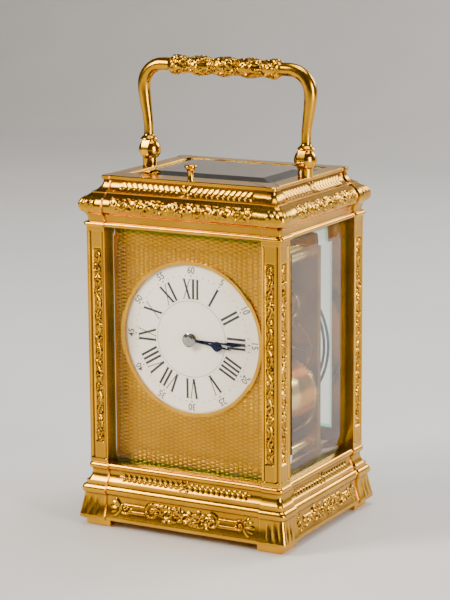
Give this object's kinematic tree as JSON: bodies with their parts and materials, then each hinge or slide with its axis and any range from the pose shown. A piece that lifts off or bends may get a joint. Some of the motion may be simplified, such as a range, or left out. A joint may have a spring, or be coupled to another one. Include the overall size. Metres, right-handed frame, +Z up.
{
  "type": "carriage clock",
  "caption": "Gilt striking carriage clock with a moulded gorge case, bevelled glass panels, a white Roman dial, a folding top handle and a rear door.",
  "frame": {"origin": "middle of the footprint, on the surface the feet stand on", "axes": "+Z up, dial facing -Y, rear door at +Y, +X to the right seen from the front"},
  "size_m": [0.09, 0.0782, 0.18],
  "materials": {
    "gilt_brass": "polished",
    "engine_turned_gilt": "satin",
    "bevelled_glass": "polished",
    "enamel": "gloss",
    "blued_steel": "polished",
    "polished_steel": "polished",
    "movement_brass": "satin"
  },
  "bodies": {
    "case": {"base_frame": "gilt_brass", "feet": "gilt_brass", "case_screws": "polished_steel", "pillar_front_left": "gilt_brass", "pillar_front_right": "gilt_brass", "pillar_rear_left": "gilt_brass", "pillar_rear_right": "gilt_brass", "top_frame": "gilt_brass", "top_glass": "bevelled_glass", "front_glass": "bevelled_glass", "left_glass": "bevelled_glass", "right_glass": "bevelled_glass", "door_pins": "polished_steel", "handle_post_left": "gilt_brass", "handle_post_right": "gilt_brass", "handle_pins": "gilt_brass", "dial_mask": "engine_turned_gilt", "dial_bezel": "gilt_brass", "dial": "enamel", "front_plate": "movement_brass", "back_plate": "movement_brass", "plate_pillars": "movement_brass", "plate_screws": "polished_steel", "platform_plate": "movement_brass", "pallet_bridge": "polished_steel", "balance_cock": "polished_steel", "gong": "blued_steel", "gong_block": "movement_brass"},
    "door": {"door_frame": "gilt_brass", "door_glass": "bevelled_glass", "door_knob": "gilt_brass"},
    "handle": {"handle": "gilt_brass"},
    "repeat_button": {"repeat_button": "gilt_brass"},
    "repeat_lever": {"repeat_lever": "polished_steel"},
    "centre_arbor": {"centre_wheel": "movement_brass", "cannon_pinion": "movement_brass", "minute_hand": "blued_steel", "hand_collet": "polished_steel"},
    "hour_pipe": {"hour_wheel": "movement_brass", "hour_hand": "blued_steel"},
    "minute_wheel": {"minute_wheel": "movement_brass"},
    "intermediate_wheel": {"intermediate_wheel": "movement_brass"},
    "going_barrel": {"going_barrel": "movement_brass"},
    "third_wheel": {"third_wheel": "movement_brass"},
    "contrate_wheel": {"contrate_wheel": "movement_brass"},
    "escape_wheel": {"escape_wheel": "polished_steel"},
    "balance": {"balance_wheel": "movement_brass", "hairspring": "blued_steel"},
    "pallet_lever": {"pallet_lever": "polished_steel"},
    "regulator": {"regulator_index": "blued_steel"},
    "going_winder": {"going_barrel_arbor": "polished_steel"},
    "going_click": {"going_click": "polished_steel"},
    "strike_winder": {"strike_barrel_arbor": "polished_steel"},
    "strike_click": {"strike_click": "polished_steel"},
    "pin_wheel": {"strike_pin_wheel": "movement_brass"},
    "strike_barrel": {"strike_barrel": "movement_brass"},
    "strike_second_wheel": {"strike_second_wheel": "movement_brass"},
    "warning_wheel": {"warning_wheel": "movement_brass"},
    "fly": {"fly": "movement_brass"},
    "hammer": {"hammer": "polished_steel"}
  },
  "joints": [
    {"name": "handle_swing", "type": "hinge", "parent": "case", "child": "handle", "pos_m": [0, 0, 0.1425], "axis": [1, 0, 0], "range_deg": [-90, 84]},
    {"name": "door_swing", "type": "hinge", "parent": "case", "child": "door", "pos_m": [-0.0314, 0.0335, 0.07105], "axis": [0, 0, 1], "range_deg": [0, 95]},
    {"name": "repeat_press", "type": "slide", "parent": "case", "child": "repeat_button", "axis": [0, 0, -1], "range_m": [0, 0.002], "stiffness_N_per_m": 300, "springref_m": -0.001},
    {"name": "repeat_lever_tilt", "type": "hinge", "parent": "case", "child": "repeat_lever", "pos_m": [0, -0.02025, 0.1205], "axis": [1, 0, 0], "range_deg": [0, 15.9]},
    {"name": "centre_turn", "type": "hinge", "parent": "case", "child": "centre_arbor", "pos_m": [0, 0, 0.076], "axis": [0, 1, 0], "continuous": true},
    {"name": "hour_turn", "type": "hinge", "parent": "case", "child": "hour_pipe", "pos_m": [0, -0.025, 0.076], "axis": [0, 1, 0], "continuous": true},
    {"name": "minute_wheel_turn", "type": "hinge", "parent": "case", "child": "minute_wheel", "pos_m": [0.0046, -0.024, 0.07214], "axis": [0, 1, 0], "continuous": true},
    {"name": "intermediate_turn", "type": "hinge", "parent": "case", "child": "intermediate_wheel", "pos_m": [-0.01127, 0, 0.06656], "axis": [0, 1, 0], "continuous": true},
    {"name": "going_barrel_turn", "type": "hinge", "parent": "case", "child": "going_barrel", "pos_m": [-0.017, 0, 0.0495], "axis": [0, 1, 0], "continuous": true},
    {"name": "third_turn", "type": "hinge", "parent": "case", "child": "third_wheel", "pos_m": [-0.00259, 0, 0.09016], "axis": [0, 1, 0], "continuous": true},
    {"name": "contrate_turn", "type": "hinge", "parent": "case", "child": "contrate_wheel", "pos_m": [0.006, 0, 0.0984], "axis": [0, 1, 0], "continuous": true},
    {"name": "escape_turn", "type": "hinge", "parent": "case", "child": "escape_wheel", "pos_m": [0.006, -0.0022, 0.11325], "axis": [0, 0, 1], "continuous": true},
    {"name": "balance_swing", "type": "hinge", "parent": "case", "child": "balance", "pos_m": [-0.007, -0.0022, 0.1175], "axis": [0, 0, 1], "range_deg": [-220, 220], "stiffness_Nm_per_rad": 0.000002},
    {"name": "lever_rock", "type": "hinge", "parent": "case", "child": "pallet_lever", "pos_m": [0.0006, -0.0022, 0.11325], "axis": [0, 0, 1], "range_deg": [-5.5, 5.5]},
    {"name": "regulator_turn", "type": "hinge", "parent": "case", "child": "regulator", "pos_m": [-0.007, -0.0022, 0.1209], "axis": [0, 0, 1], "range_deg": [-20, 20]},
    {"name": "going_wind", "type": "hinge", "parent": "case", "child": "going_winder", "pos_m": [-0.017, 0.02, 0.0495], "axis": [0, 1, 0], "continuous": true},
    {"name": "going_click_lift", "type": "hinge", "parent": "case", "child": "going_click", "pos_m": [-0.017, 0.017, 0.0591], "axis": [0, 1, 0], "range_deg": [-15, 0], "stiffness_Nm_per_rad": 0.0002, "springref_deg": 5.73},
    {"name": "strike_wind", "type": "hinge", "parent": "case", "child": "strike_winder", "pos_m": [0.017, 0.02, 0.0495], "axis": [0, 1, 0], "continuous": true},
    {"name": "strike_click_lift", "type": "hinge", "parent": "case", "child": "strike_click", "pos_m": [0.017, 0.017, 0.0591], "axis": [0, 1, 0], "range_deg": [-15, 0], "stiffness_Nm_per_rad": 0.0002, "springref_deg": 5.73},
    {"name": "pin_wheel_turn", "type": "hinge", "parent": "case", "child": "pin_wheel", "pos_m": [0.01602, 0, 0.07979], "axis": [0, 1, 0], "continuous": true},
    {"name": "strike_barrel_turn", "type": "hinge", "parent": "case", "child": "strike_barrel", "pos_m": [0.017, 0, 0.0495], "axis": [0, 1, 0], "continuous": true},
    {"name": "second_turn", "type": "hinge", "parent": "case", "child": "strike_second_wheel", "pos_m": [0.01851, 0, 0.06744], "axis": [0, 1, 0], "continuous": true},
    {"name": "warning_turn", "type": "hinge", "parent": "case", "child": "warning_wheel", "pos_m": [0.02251, 0, 0.08617], "axis": [0, 1, 0], "continuous": true},
    {"name": "fly_turn", "type": "hinge", "parent": "case", "child": "fly", "pos_m": [0.02051, 0, 0.09283], "axis": [0, 1, 0], "continuous": true},
    {"name": "hammer_strike", "type": "hinge", "parent": "case", "child": "hammer", "pos_m": [0.009, 0.019, 0.09], "axis": [0, 1, 0], "range_deg": [0, 14], "stiffness_Nm_per_rad": 0.001, "springref_deg": -11.46}
  ],
  "couplings": [
    {"joint": "repeat_lever_tilt", "follows": "repeat_press", "rad_per_m": 137.93},
    {"joint": "hour_turn", "follows": "centre_turn", "ratio": 0.083333},
    {"joint": "minute_wheel_turn", "follows": "centre_turn", "ratio": -0.33333},
    {"joint": "intermediate_turn", "follows": "centre_turn", "ratio": -0.16667},
    {"joint": "going_barrel_turn", "follows": "centre_turn", "ratio": 0.020833},
    {"joint": "third_turn", "follows": "centre_turn", "ratio": -8},
    {"joint": "contrate_turn", "follows": "centre_turn", "ratio": 60},
    {"joint": "escape_turn", "follows": "centre_turn", "ratio": 600},
    {"joint": "lever_rock", "follows": "balance_swing", "ratio": -0.022727},
    {"joint": "second_turn", "follows": "pin_wheel_turn", "ratio": -0.125},
    {"joint": "strike_barrel_turn", "follows": "pin_wheel_turn", "ratio": 0.015625},
    {"joint": "warning_turn", "follows": "pin_wheel_turn", "ratio": -6},
    {"joint": "fly_turn", "follows": "pin_wheel_turn", "ratio": 37.5}
  ]
}
